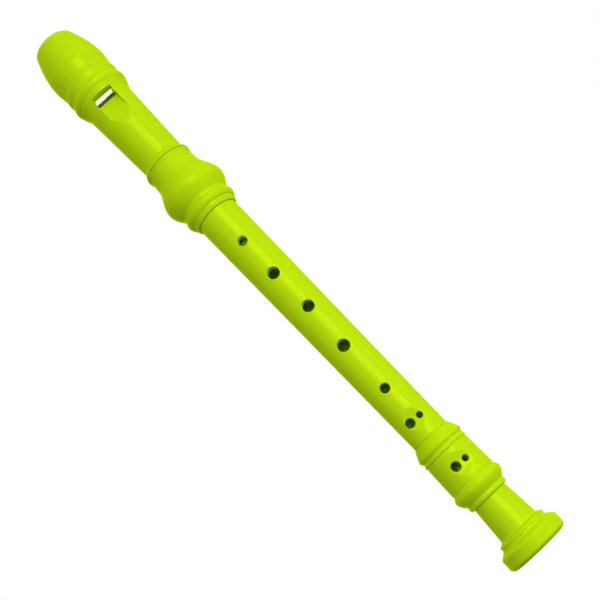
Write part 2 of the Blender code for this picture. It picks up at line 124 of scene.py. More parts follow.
class TurningSettings(PropertyGroup):
    columns: IntProperty(name="Columns", description="Faces round each turned piece",
                         default=192, min=32)
    edge: length("Edge radius", "Rounding of the turned edges", 0.28 * MM)
    fineness: length("Fineness", "Length of a step along a curve", 0.36 * MM)


class HeadSettings(PropertyGroup):
    tip_radius: length("Tip radius", "Radius of the beak at its tip", 11.35 * MM)
    beak_radius: length("Beak radius", "Largest radius of the beak", 15.1 * MM)
    window_length: length("Window length", "From the windway's end to the labium", 3.9 * MM)
    window_width: length("Window width", "Width of windway and window", 10.6 * MM)
    ramp_length: length("Ramp length", "Length of the labium's ramp", 16.6 * MM)
    chin_radius: length("Chin radius", "Radius of the hollow for the chin", 46.0 * MM)
    chin_edge: length("Chin edge", "Softness of the hollow's edge", 1.7 * MM)


class BarrelSettings(PropertyGroup):
    bulge_radius: length("Bulge radius", "Largest radius of the barrel", 16.23 * MM)
    ring_rise: length("Ring rise", "How far the ring stands out", 0.95 * MM)


class MiddleSettings(PropertyGroup):
    top_radius: length("Top radius", "Radius at the upper shoulder", 10.5 * MM)
    end_radius: length("End radius", "Radius at the lower shoulder", 9.05 * MM)
    rim: length("Hole rim", "Rounding of the finger holes' rims", 0.34 * MM)
    dish_depth: length("Dish depth", "Depth of the dish round a doubled hole", 1.1 * MM)


class FootSettings(PropertyGroup):
    body_radius: length("Body radius", "Radius of the foot's body", 11.02 * MM)
    bell_radius: length("Bell radius", "Radius of the bell", 14.87 * MM)


class StageSettings(PropertyGroup):
    key: radiance("Key light", "The broad light from the right", 2.15)
    fill: radiance("Fill light", "The weak light from the front", 1.2)
    low: radiance("Low light", "The small light beside the foot", 3.0)
    strip: radiance("Strip light", "The tall light seen as a highlight", 7.5)
    back: radiance("Back light", "The light behind the recorder", 2.8)
    snoot: radiance("Window light", "The small light into the window", 265.0)
    ambient: factor("Ambient", "Even light from all round", 0.44)
    lens: FloatProperty(name="Lens", description="Focal length in mm", default=61.36, min=10.0)


# Drawing a half section

FEWEST_SEGMENTS = 10


def between(a, b, t):
    return a + (b - a) * t


def bridge(start, corner, end, t):
    """A curve from start to end that rounds off the corner, for t from 0 to 1."""
    return start * (1 - t) ** 2 + corner * (2 * t * (1 - t)) + end * t ** 2


class Outline:
    """The outer line of a turned piece as (radius, height) points, followed from the top down."""

    def __init__(self, radius, height=0.0):
        self.points = [(radius, height)]

    @property
    def radius(self):
        return self.points[-1][0]

    @property
    def height(self):
        return self.points[-1][1]

    def to(self, radius, height):
        self.points.append((radius, height))

    def step(self, radius):
        self.to(radius, self.height)

    def straight(self, drop, radius):
        self.to(radius, self.height - drop)

    def curve(self, drop, shape):
        """Follow shape(t), a radius for t from 0 at the top of the drop to 1 at its end."""
        top = self.height
        segments = max(FEWEST_SEGMENTS, ceil(drop / bpy.context.scene.recorder_turning.fineness))
        for i in range(1, segments + 1):
            t = i / segments
            self.to(shape(t), top - drop * t)

    def swell(self, drop, radius, lead=0.0):
        """An S-curve. With a lead it starts that share of the way along."""
        start = self.radius
        skipped = (1 - cos(pi * lead)) / 2

        def shape(t):
            risen = (1 - cos(pi * between(lead, 1, t))) / 2
            return start + (radius - start) * (risen - skipped) / (1 - skipped)

        self.curve(drop, shape)

    def quarter(self, drop, radius, slow_start):
        """A quarter of a wave, which either sets off or arrives along the bore."""
        start = self.radius
        if slow_start:
            self.curve(drop, lambda t: radius - (radius - start) * cos(pi * t / 2))
        else:
            self.curve(drop, lambda t: start + (radius - start) * sin(pi * t / 2))

    def dome(self, drop, radius):
        self.quarter(drop, radius, radius <= self.radius)

    def cove(self, drop, radius):
        self.quarter(drop, radius, radius > self.radius)

    def bead(self, drop, rise, radius=None):
        start = self.radius
        end = start if radius is None else radius
        self.curve(drop, lambda t: start + (end - start) * t + rise * sin(pi * t))

    def radius_at(self, height):
        for (r1, z1), (r2, z2) in zip(self.points, self.points[1:]):
            if z2 <= height < z1:
                return between(r1, r2, (z1 - height) / (z1 - z2))
        return self.radius

    def stand_on(self, height):
        shift = height - self.height
        self.points = [(radius, z + shift) for radius, z in self.points]

    def add_rows(self, heights):
        """Put extra points on the line at these heights."""
        for height in heights:
            for i, ((r1, z1), (r2, z2)) in enumerate(zip(self.points, self.points[1:])):
                if z2 < height < z1:
                    self.points.insert(i + 1, (between(r1, r2, (z1 - height) / (z1 - z2)), height))
                    break


def softened(points, reach, sharp=radians(14), segments=5, share=0.45):
    """Round the corners of a line: each is cut back by reach and bridged by a curve.

    Between two corners that are close together, each takes no more than its share of the way.
    """
    line = [Vector(point) for point in points]
    run = [0.0]
    for a, b in zip(line, line[1:]):
        run.append(run[-1] + (b - a).length)
    corners = []
    for i in range(1, len(line) - 1):
        before, after = line[i] - line[i - 1], line[i + 1] - line[i]
        if before.length > 0 and after.length > 0 and before.angle(after) > sharp:
            corners.append(i)

    def at(distance):
        for i in range(len(line) - 1):
            if distance <= run[i + 1]:
                return line[i].lerp(line[i + 1], (distance - run[i]) / (run[i + 1] - run[i]))
        return line[-1]

    marks = [0.0] + [run[i] for i in corners] + [run[-1]]
    result = []
    done = -1.0
    for count, corner in enumerate(corners):
        here = run[corner]
        room = min(here - marks[count], marks[count + 2] - here)
        cut = min(reach, share * room)
        result += [p for p, d in zip(line, run) if done < d < here - cut]
        start, end = at(here - cut), at(here + cut)
        for k in range(segments + 1):
            result.append(bridge(start, line[corner], end, k / segments))
        done = here + cut
    result += [p for p, d in zip(line, run) if d > done]
    return [(p.x, p.y) for p in result]


# Modelling by hand, in code

def activate(obj):
    bpy.ops.object.select_all(action="DESELECT")
    obj.select_set(True)
    bpy.context.view_layer.objects.active = obj


def edit(obj, mode="VERT"):
    activate(obj)
    bpy.ops.object.mode_set(mode="EDIT")
    bpy.ops.mesh.select_mode(type=mode)
    bpy.ops.mesh.select_all(action="DESELECT")


def leave_edit():
    bpy.ops.object.mode_set(mode="OBJECT")


def select_mesh():
    bpy.ops.mesh.select_all(action="SELECT")


def pick(obj, kind, test):
    """Select the verts, edges or faces of the mesh in edit mode that pass a test."""
    bpy.ops.mesh.select_mode(type=kind[:-1].upper())
    bpy.ops.mesh.select_all(action="DESELECT")
    bm = bmesh.from_edit_mesh(obj.data)
    for element in getattr(bm, kind):
        if test(element):
            element.select = True
    bm.select_flush_mode()
    bmesh.update_edit_mesh(obj.data)


def move_picked(obj, place):
    """Put each selected vertex where place(its position) says."""
    bm = bmesh.from_edit_mesh(obj.data)
    for vert in bm.verts:
        if vert.select:
            vert.co = place(vert.co)
    bmesh.update_edit_mesh(obj.data)


def draw_line(name, points):
    """Draw a line: a plane merged to one vertex, which is extruded from point to point."""
    bpy.ops.object.select_all(action="DESELECT")
    bpy.ops.mesh.primitive_plane_add(size=MM, location=(0, 0, 0))
    obj = bpy.context.object
    obj.name = name
    bpy.ops.object.mode_set(mode="EDIT")
    bpy.ops.mesh.select_mode(type="VERT")
    select_mesh()
    bpy.ops.mesh.merge(type="CENTER")
    bpy.ops.transform.translate(value=points[0])
    for start, end in zip(points, points[1:]):
        bpy.ops.mesh.extrude_vertices_move(TRANSFORM_OT_translate={"value": end - start})
    return obj


def fill_and_extrude(name, line, way):
    """Draw a line, fill it and extrude the face. Its far end stays selected."""
    obj = draw_line(name, line)
    select_mesh()
    bpy.ops.mesh.edge_face_add()
    bpy.ops.mesh.extrude_region_move(TRANSFORM_OT_translate={"value": way})
    return obj


def face_outwards():
    select_mesh()
    bpy.ops.mesh.normals_make_consistent(inside=False)


def turn(name, outline_points, columns):
    """Spin an outer line about the bore's axis and close both ends. The object stays in edit mode."""
    line = [Vector((radius, 0.0, height)) for radius, height in outline_points]
    obj = draw_line(name, line)
    select_mesh()
    bpy.ops.mesh.spin(steps=columns, angle=2 * pi, center=(0, 0, 0), axis=(0, 0, 1))
    select_mesh()
    bpy.ops.mesh.remove_doubles(threshold=SAME_PLACE)
    for height in (line[0].z, line[-1].z):
        pick(obj, "edges", lambda edge: edge.is_boundary
             and abs(edge.verts[0].co.z - height) < SAME_HEIGHT)
        bpy.ops.mesh.edge_face_add()
    face_outwards()
    bpy.ops.mesh.select_all(action="DESELECT")
    return obj


def turn_piece(name, outline_points):
    """Turn a piece, with the corners of its outline rounded."""
    turning = bpy.context.scene.recorder_turning
    return turn(name, softened(outline_points, turning.edge), turning.columns)


def prism(name, side_view, half_width):
    """A side view of (forward, height) points, extruded across to half_width(forward) each way."""
    line = [Vector((-MM, -forward, height)) for forward, height in side_view]
    obj = fill_and_extrude(name, line, (2 * MM, 0, 0))
    select_mesh()
    move_picked(obj, lambda co: Vector((copysign(half_width(-co.y), co.x), co.y, co.z)))
    face_outwards()
    leave_edit()
    return obj


def marker(name):
    return bpy.data.materials.get(name) or bpy.data.materials.new(name)


def carve(obj, cutter):
    """Take a cutter's shape out of a piece, and keep the line round the cut a crisp edge."""
    cutter.data.materials.append(marker("cut_marker"))
    if not obj.data.materials:
        obj.data.materials.append(marker("uncut_marker"))
    modifier = obj.modifiers.new("cut", "BOOLEAN")
    modifier.operation = "DIFFERENCE"
    modifier.solver = "EXACT"
    modifier.material_mode = "TRANSFER"
    modifier.object = cutter
    activate(obj)
    bpy.ops.object.modifier_apply(modifier=modifier.name)
    bpy.data.objects.remove(cutter, do_unlink=True)
    slots = [material.name for material in obj.data.materials]
    if "cut_marker" not in slots:
        raise RuntimeError(f"a cut missed {obj.name}")
    obj.active_material_index = slots.index("cut_marker")
    edit(obj, "FACE")
    bpy.ops.object.material_slot_select()
    bpy.ops.mesh.region_to_loop()
    bpy.ops.mesh.mark_sharp()
    leave_edit()
    bpy.ops.object.material_slot_remove()


def soft_min(a, b, width):
    """The smaller of two numbers, rounded off where they are within width of each other."""
    overlap = max(width - abs(a - b), 0.0) / width
    return min(a, b) - overlap * overlap * width / 4


class Hole:
    """A round hole through one side: offset to the right, height, diameter; side is -1 front, 1 back.

    A hole that leans climbs by that angle on its way in.
    """

    def __init__(self, offset, height, diameter, side=-1, lean=0.0):
        self.offset = offset
        self.height = height
        self.radius = diameter / 2
        self.side = side
        self.climb = tan(lean)


# The patch of new rings round a hole, its rows, and how near the bore's axis a hole is sunk
PATCH_MARGIN = 0.95 * MM
PATCH_ROW = 0.34 * MM
PATCH_RINGS = 4
RIM_RINGS = 4
POCKET_FLOOR = 0.3 * MM


def column_step():
    """The angle between two columns of a turned piece."""
    return 2 * pi / bpy.context.scene.recorder_turning.columns


def open_hole(obj, hole, surface, left, right):
    """Lay rings from the grid of a turned piece to a round rim, and sink the hole to the bore.

    The patch lies between the columns left and right, and on surface(x, z).
    """
    step = column_step()
    rim = bpy.context.scene.recorder_middle.rim
    reach = hole.radius + PATCH_MARGIN

    def in_patch(face):
        middle = face.calc_center_median()
        turned_by = atan2(middle.x, hole.side * middle.y)
        return left < turned_by / step < right and abs(middle.z - hole.height) < reach

    def on_ring(way, radius, sunk=0.0):
        x, z = hole.offset + way.x * radius, hole.height + way.y * radius
        return Vector((x, hole.side * (surface(x, z) - sunk), z))

    def extrude_ring(place):
        """Extrude the open edge to place(way, distance), as seen from the hole's middle."""

        def move(co):
            away = Vector((co.x - hole.offset, co.z - hole.height))
            return place(away.normalized(), away.length)

        bpy.ops.mesh.extrude_edges_move()
        move_picked(obj, move)

    pick(obj, "faces", in_patch)
    bpy.ops.mesh.delete(type="FACE")
    pick(obj, "edges", lambda edge: edge.is_boundary)
    outer = hole.radius + rim
    for ring in range(PATCH_RINGS):
        keep = (PATCH_RINGS - 1 - ring) / (PATCH_RINGS - ring)
        extrude_ring(lambda way, distance: on_ring(way, outer + (distance - outer) * keep))
    for ring in range(1, RIM_RINGS + 1):
        t = ring / RIM_RINGS
        extrude_ring(lambda way, _: bridge(on_ring(way, outer), on_ring(way, hole.radius),
                                           on_ring(way, hole.radius, sunk=rim), t))
    bpy.ops.mesh.extrude_edges_move()
    move_picked(obj, lambda co: Vector((co.x, hole.side * POCKET_FLOOR,
                                        co.z + hole.climb * (abs(co.y) - POCKET_FLOOR))))
    bpy.ops.mesh.edge_face_add()


def patch_rows(hole):
    """Heights of the rows that a hole's patch needs, from its lower edge to its upper one."""
    reach = hole.radius + PATCH_MARGIN
    count = 2 * ceil(reach / PATCH_ROW)
    return [hole.height - reach + 2 * reach * i / count for i in range(count + 1)]


def patch_columns(hole, radius):
    """The columns that a hole's patch lies between."""
    step = column_step()
    reach = hole.radius + PATCH_MARGIN
    return floor((hole.offset - reach) / radius / step), ceil((hole.offset + reach) / radius / step)


def finish_piece(obj, body, node, material, turn_by, lift):
    """Shade a piece, set it in its place on the recorder and hand it to its body."""
    obj.data.name = obj.name
    edit(obj)
    face_outwards()
    leave_edit()
    obj.rotation_euler.z = turn_by
    obj.location.z = lift
    bpy.ops.object.transform_apply(location=True, rotation=True, scale=True)
    obj.data.materials.clear()
    obj.data.materials.append(material)
    bpy.ops.object.shade_smooth_by_angle(angle=SMOOTH_ANGLE, keep_sharp_edges=True)
    modifier = obj.modifiers.new("even_shading", "WEIGHTED_NORMAL")
    modifier.keep_sharp = True
    bpy.ops.object.modifier_apply(modifier=modifier.name)
    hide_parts(node)
    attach(obj, body)


# Materials

PLASTIC_IOR = 1.49
RELIEF_DEPTH = 0.02 * MM
GLOSS_DRIFT = 0.06

# Noise scales of the moulded skin, in waves per metre: wipes run along the bore
COLOUR_DRIFT, COLOUR_SPECKS = 55.0, 2600.0
HANDLING, WIPES = 130.0, (2300.0, 2300.0, 75.0)
SKIN_WAVES, SKIN_GRAIN = 95.0, 3200.0

# How much specks and wipes count against the slower noise they are added to
SPECK_SHARE, WIPE_SHARE = 0.35, 0.6


def surface_group():
    """Node group for moulded plastic: slow drifts of colour and gloss, and a fine relief."""
    group = bpy.data.node_groups.get("moulded_skin")
    if group:
        return group
    group = bpy.data.node_groups.new("moulded_skin", "ShaderNodeTree")

    def add_socket(name, kind="Float", way="INPUT"):
        group.interface.new_socket(name=name, in_out=way, socket_type=f"NodeSocket{kind}")

    add_socket("Vector", "Vector")
    add_socket("Colour", "Color")
    for name in ("Colour drift", "Roughness", "Gloss drift", "Waviness", "Grain"):
        add_socket(name)
    add_socket("Colour", "Color", "OUTPUT")
    add_socket("Roughness", way="OUTPUT")
    add_socket("Height", way="OUTPUT")
    nodes, links = group.nodes, group.links
    start = nodes.new("NodeGroupInput")
    end = nodes.new("NodeGroupOutput")

    def noise(scale, detail, roughness=0.5, stretch=None):
        source = start.outputs["Vector"]
        if stretch:
            mapping = nodes.new("ShaderNodeMapping")
            mapping.inputs["Scale"].default_value = stretch
            links.new(source, mapping.inputs["Vector"])
            source = mapping.outputs["Vector"]
        node = nodes.new("ShaderNodeTexNoise")
        node.inputs["Scale"].default_value = scale
        node.inputs["Detail"].default_value = detail
        node.inputs["Roughness"].default_value = roughness
        links.new(source, node.inputs["Vector"])
        return node.outputs["Fac"]

    def calc(operation, a, b):
        node = nodes.new("ShaderNodeMath")
        node.operation = operation
        for socket, value in zip(node.inputs, (a, b)):
            if isinstance(value, (int, float)):
                socket.default_value = value
            else:
                links.new(value, socket)
        return node.outputs[0]

    def about_zero(value):
        return calc("SUBTRACT", value, 0.5)

    drift = about_zero(noise(COLOUR_DRIFT, 3.0))
    specks = about_zero(noise(COLOUR_SPECKS, 1.0))
    tone = calc("ADD", drift, calc("MULTIPLY", specks, SPECK_SHARE))
    tone = calc("ADD", 1.0, calc("MULTIPLY", tone, start.outputs["Colour drift"]))
    shade = nodes.new("ShaderNodeVectorMath")
    shade.operation = "SCALE"
    links.new(start.outputs["Colour"], shade.inputs[0])
    links.new(tone, shade.inputs["Scale"])
    links.new(shade.outputs["Vector"], end.inputs["Colour"])
    handling = about_zero(noise(HANDLING, 5.0, roughness=0.6))
    wipes = about_zero(noise(1.0, 2.0, stretch=WIPES))
    gloss = calc("ADD", handling, calc("MULTIPLY", wipes, WIPE_SHARE))
    gloss = calc("MULTIPLY", gloss, start.outputs["Gloss drift"])
    links.new(calc("ADD", start.outputs["Roughness"], gloss), end.inputs["Roughness"])
    waves = calc("MULTIPLY", noise(SKIN_WAVES, 1.0), start.outputs["Waviness"])
    grain = calc("MULTIPLY", noise(SKIN_GRAIN, 2.0), start.outputs["Grain"])
    links.new(calc("ADD", waves, grain), end.inputs["Height"])
    return group


def plastic(name, base, roughness, tint, level, drift, waviness, grain, depth=None):
    """A moulded plastic: the shared skin feeds its colour, gloss and relief to the shader.

    With depth, a coat that bends no light stands for the plastic's depth: it tints at a slant.
    """
    material = bpy.data.materials.get(name)
    if material:
        return material
    material = bpy.data.materials.new(name)
    material.use_nodes = True
    nodes, links = material.node_tree.nodes, material.node_tree.links
    shader = nodes["Principled BSDF"]
    shader.inputs["IOR"].default_value = PLASTIC_IOR
    shader.inputs["Specular IOR Level"].default_value = level
    shader.inputs["Specular Tint"].default_value = tint
    if depth:
        shader.inputs["Coat Weight"].default_value = 1.0
        shader.inputs["Coat IOR"].default_value = 1.0
        shader.inputs["Coat Roughness"].default_value = roughness
        shader.inputs["Coat Tint"].default_value = depth
    place = nodes.new("ShaderNodeTexCoord")
    skin = nodes.new("ShaderNodeGroup")
    skin.node_tree = surface_group()
    for socket, value in (("Colour", base), ("Roughness", roughness), ("Colour drift", drift),
                          ("Gloss drift", GLOSS_DRIFT), ("Waviness", waviness), ("Grain", grain)):
        skin.inputs[socket].default_value = value
    bump = nodes.new("ShaderNodeBump")
    bump.inputs["Distance"].default_value = RELIEF_DEPTH
    links.new(place.outputs["Object"], skin.inputs["Vector"])
    links.new(skin.outputs["Colour"], shader.inputs["Base Color"])
    links.new(skin.outputs["Roughness"], shader.inputs["Roughness"])
    links.new(skin.outputs["Height"], bump.inputs["Height"])
    links.new(bump.outputs["Normal"], shader.inputs["Normal"])
    return material


def lime_plastic():
    settings = bpy.context.scene.recorder_plastic
    return plastic("lime_plastic_gloss", settings.lime, settings.lime_roughness,
                   tint=settings.sheen_tint, level=0.2, drift=0.035, waviness=1.0, grain=0.05,
                   depth=settings.depth_tint)


def ivory_plastic():
    settings = bpy.context.scene.recorder_plastic
    return plastic("ivory_plastic_satin", settings.ivory, settings.ivory_roughness,
                   tint=(1.0, 1.0, 1.0, 1.0), level=0.5, drift=0.03, waviness=0.6, grain=0.12)


# Head joint

# Beak, from its tip down to the waist, and the chin's hollow in its underside
TIP_EDGE, BEAK_LENGTH = mm(0.5, 19.1)
WAIST_LENGTH, WAIST_RADIUS = mm(8.9, 14.35)
CHIN_TIP, CHIN_LENGTH = mm(4.0, 27.0)
CHIN_STEPS = 32

# Beads above the window and the groove between them, then fillet and cove
FIRST_BEAD, FIRST_BEAD_RISE = mm(4.6, 0.4)
GROOVE, GROOVE_RADIUS = mm(1.0, 14.1)
SECOND_BEAD, SECOND_BEAD_RISE = mm(4.8, 0.85)
FILLET, FILLET_RISE, FILLET_RADIUS = mm(1.7, 0.3, 13.8)
COVE = 5.2 * MM

# Tube, collar, spigot and bore
TUBE_LENGTH, TUBE_TOP_RADIUS, TUBE_END_RADIUS = mm(39.6, 12.42, 11.03)
COLLAR, COLLAR_RADIUS = mm(3.2, 12.5)
SPIGOT_LENGTH, SPIGOT_RADIUS = mm(15.6, 9.6)
HEAD_BORE = 6.9 * MM

# Voicing: a forward distance is from the bore's axis, and in and out are the windway's two ends
WINDWAY_LENGTH = 42.4 * MM
FLOOR_IN, FLOOR_OUT = mm(7.0, 7.5)
ROOF_IN, ROOF_OUT = mm(8.3, 8.5)
ROOF_CHAMFER = 0.2 * MM
EDGE_FORWARD, EDGE_THICKNESS = mm(8.1, 0.3)
RAMP_CROWN, RAMP_STEPS = 0.36 * MM, 12
UNDERCUT_LENGTH = 8.5 * MM
WALL_DRAFT = 0.08

# Extra rows for the hollow and for the window's cut, and how far past them the rows go on
BEAK_ROW, WINDOW_ROW, WINDOW_ROWS = 0.5 * MM, 0.8 * MM, 30
HOLLOW_PAST, BEAK_ROWS_PAST, WINDOW_ROWS_PAST = mm(2.5, 3.0, 2.0)


def head_outline(head):
    """Beak, beads, cove, tube, collar and spigot. Height 0 is the seam with the barrel."""
    out = Outline(head.tip_radius - TIP_EDGE)
    out.straight(TIP_EDGE, head.tip_radius)
    out.dome(BEAK_LENGTH, head.beak_radius)
    out.swell(WAIST_LENGTH, WAIST_RADIUS)
    out.bead(FIRST_BEAD, FIRST_BEAD_RISE, GROOVE_RADIUS)
    out.straight(GROOVE, GROOVE_RADIUS)
    out.bead(SECOND_BEAD, SECOND_BEAD_RISE)
    out.step(FILLET_RADIUS)
    out.bead(FILLET, FILLET_RISE)
    out.cove(COVE, TUBE_TOP_RADIUS)
    out.straight(TUBE_LENGTH, TUBE_END_RADIUS)
    out.dome(COLLAR, COLLAR_RADIUS)
    out.stand_on(0.0)
    out.step(SPIGOT_RADIUS)
    out.straight(SPIGOT_LENGTH - TENON_CHAMFER, SPIGOT_RADIUS)
    out.straight(TENON_CHAMFER, SPIGOT_RADIUS - TENON_CHAMFER)
    return out


def chin_line(head, tip_height):
    """Centre and radius of the arc that hollows the beak's underside, as (forward, height)."""
    tip = Vector((CHIN_TIP, tip_height))
    back = Vector((-head.beak_radius, tip_height - CHIN_LENGTH))
    chord = back - tip
    away = Vector((chord.y, -chord.x)).normalized()
    rise = sqrt(head.chin_radius ** 2 - (chord.length / 2) ** 2)
    return (tip + back) / 2 + away * rise, head.chin_radius


def hollow_beak(obj, head, tip_height):
    """Draw the beak's underside in to the chin arc, with a soft edge where it meets the round."""
    centre, arc = chin_line(head, tip_height)
    lowest = tip_height - CHIN_LENGTH - HOLLOW_PAST

    def draw_in(co):
        radius = hypot(co.x, co.y)
        inside = arc ** 2 - (co.z - centre.y) ** 2
        limit = centre.x + sqrt(inside) + max(head.tip_radius - radius, 0.0)
        middle = (radius + max(limit, -radius)) / 2
        across, ahead = co.x / radius, -co.y / radius
        distance = sqrt(radius ** 2 - (middle * across) ** 2) - middle * ahead
        # The chin line bounds only what faces backwards
        if ahead < -1e-6:
            distance = soft_min(distance, (middle - limit) / -ahead, head.chin_edge)
        return Vector((across * distance, -middle - ahead * distance, co.z))

    pick(obj, "verts", lambda vert: vert.co.z > lowest)
    move_picked(obj, draw_in)


def window_half_width(forward):
    """Half the width of windway and window, which open outwards by the mould's draft."""
    half = bpy.context.scene.recorder_head.window_width / 2
    return half + WALL_DRAFT * (forward - EDGE_FORWARD)


def voicing_cutter(head, outline, tip_height):
    """Windway, window, labium ramp and undercut in one side view."""
    outside = 2 * head.beak_radius
    past_tip = tip_height + CUT_OVER
    window_top = tip_height - WINDWAY_LENGTH
    edge = window_top - head.window_length
    ramp_end = outline.radius_at(edge - head.ramp_length)
    side_view = [(0.0, past_tip), (ROOF_IN, past_tip), (ROOF_IN, tip_height)]
    side_view += [(ROOF_OUT, window_top + ROOF_CHAMFER), (ROOF_OUT + ROOF_CHAMFER, window_top)]
    side_view += [(outside, window_top), (outside, edge - head.ramp_length)]
    for i in range(RAMP_STEPS, -1, -1):
        t = i / RAMP_STEPS
        forward = between(EDGE_FORWARD, ramp_end, t) + RAMP_CROWN * 4 * t * (1 - t)
        side_view.append((forward, edge - head.ramp_length * t))
    low = edge - UNDERCUT_LENGTH
    side_view += [(EDGE_FORWARD - EDGE_THICKNESS, edge), (HEAD_BORE - EDGE_THICKNESS, low), (0.0, low)]
    return prism("voicing_cutter", side_view, window_half_width)


def bore_cutter(points):
    cutter = turn("bore_cutter", points, BORE_COLUMNS)
    leave_edit()
    return cutter


class RECORDER_OT_head_joint(Operator):
    """Model the head joint: beak, beads, window and labium"""
    bl_idname = "recorder.head_joint"
    bl_label = "Head joint"

    def execute(self, context):
        head = context.scene.recorder_head
        outline = head_outline(head)
        tip_height = outline.points[0][1]
        low = tip_height - CHIN_LENGTH - BEAK_ROWS_PAST
        beak_rows = ceil((tip_height - low) / BEAK_ROW)
        outline.add_rows([low + i * BEAK_ROW for i in range(beak_rows)])
        cut_length = WINDWAY_LENGTH + head.window_length + head.ramp_length
        window_low = tip_height - cut_length - WINDOW_ROWS_PAST
        outline.add_rows([window_low + i * WINDOW_ROW for i in range(WINDOW_ROWS)])
        obj = turn_piece("head_joint_moulding", outline.points)
        hollow_beak(obj, head, tip_height)
        leave_edit()
        carve(obj, voicing_cutter(head, outline, tip_height))
        carve(obj, bore_cutter([(HEAD_BORE, tip_height + CUT_OVER),
                                (HEAD_BORE, -SPIGOT_LENGTH - CUT_OVER)]))
        finish_piece(obj, "head", "head_joint", lime_plastic(), HEAD_TURN,
                     BARREL_TOP + SEAM_GAP)
        return {"FINISHED"}


# Block

BLOCK_FIT = 0.15 * MM
BLOCK_REACH, BLOCK_CHAMFER = mm(0.55, 1.5)
BLOCK_ARC_STEPS = 72
BLOCK_EDGE, BLOCK_EDGE_ANGLE = 0.12 * MM, radians(40)


def block_section(height):
    """The block's section at a height: the bore's round from one side wall to the other."""
    radius = HEAD_BORE - BLOCK_FIT
    side = window_half_width(0.0) - BLOCK_FIT
    a = 1 + WALL_DRAFT ** 2
    b = 2 * WALL_DRAFT * side
    corner = (sqrt(b ** 2 - 4 * a * (side ** 2 - radius ** 2)) - b) / (2 * a)
    begin = atan2(window_half_width(corner) - BLOCK_FIT, corner)
    line = []
    for i in range(BLOCK_ARC_STEPS + 1):
        angle = between(begin, 2 * pi - begin, i / BLOCK_ARC_STEPS)
        line.append(Vector((radius * sin(angle), -radius * cos(angle), height)))
    floor_side = window_half_width(FLOOR_OUT) - BLOCK_FIT
    return line + [Vector((way * floor_side, -FLOOR_OUT, height)) for way in (-1, 1)]


def chin_cutter(head, tip_height):
    """The chin's hollow, to cut the block flush with the beak's underside."""
    centre, arc = chin_line(head, tip_height)
    high, low = tip_height + CUT_OVER, tip_height - CHIN_LENGTH
    outside = 2 * head.beak_radius
    side_view = []
    for i in range(CHIN_STEPS + 1):
        height = between(high, low, i / CHIN_STEPS)
        side_view.append((centre.x + sqrt(arc ** 2 - (height - centre.y) ** 2), height))
    side_view += [(-outside, low), (-outside, high)]
    return prism("chin_cutter", side_view, lambda forward: outside)


class RECORDER_OT_block(Operator):
    """Model the block that fills the head's bore up to the window"""
    bl_idname = "recorder.block"
    bl_label = "Block"

    def execute(self, context):
        tip_height = BEAK_TIP - BARREL_TOP - SEAM_GAP
        block_length = WINDWAY_LENGTH + BLOCK_REACH
        block_end = tip_height - block_length
        obj = fill_and_extrude("fipple_block", block_section(block_end), (0, 0, block_length))
        floor_drop = FLOOR_OUT - FLOOR_IN
        move_picked(obj, lambda co: co + Vector((0, floor_drop if -co.y > FLOOR_IN else 0, 0)))

        def at_window(vert):
            return vert.co.z < block_end + SAME_PLACE and -vert.co.y > FLOOR_OUT - SAME_PLACE

        pick(obj, "edges", lambda edge: all(at_window(vert) for vert in edge.verts))
        bpy.ops.mesh.bevel(offset=BLOCK_CHAMFER, segments=1, affect="EDGES")
        face_outwards()
        leave_edit()
        carve(obj, chin_cutter(context.scene.recorder_head, tip_height))
        bevel = obj.modifiers.new("edge", "BEVEL")
        bevel.width = BLOCK_EDGE
        bevel.segments = 2
        bevel.limit_method = "ANGLE"
        bevel.angle_limit = BLOCK_EDGE_ANGLE
        bpy.ops.object.modifier_apply(modifier=bevel.name)
        finish_piece(obj, "head", "block", ivory_plastic(), HEAD_TURN,
                     BARREL_TOP + SEAM_GAP)
        return {"FINISHED"}


# Socket barrel

# Lip under the collar, neck, and the fine raised line at its end
LIP, LIP_RADIUS = mm(1.9, 11.8)
NECK, NECK_RADIUS = mm(5.3, 12.12)
LINE, LINE_RISE, LINE_RADIUS = mm(0.5, 0.07, 12.15)

# Bulge, the straight run under it, ring and mouth
BULGE_RISE, BULGE_LEAD, BULGE_FALL = 11.5 * MM, 0.17, 7.4 * MM
RUN, RUN_RADIUS = mm(1.4, 12.7)
RING, RING_RADIUS = mm(4.6, 12.6)
MOUTH, MOUTH_TOP_RADIUS, MOUTH_RADIUS = mm(2.8, 12.1, 11.3)

# Inside: the tenon's socket with its chamfer, and the room round and past the spigot
SOCKET, SOCKET_CHAMFER = mm(8.5, 0.45)
SPIGOT_FIT, SPIGOT_END_GAP = mm(0.15, 0.3)


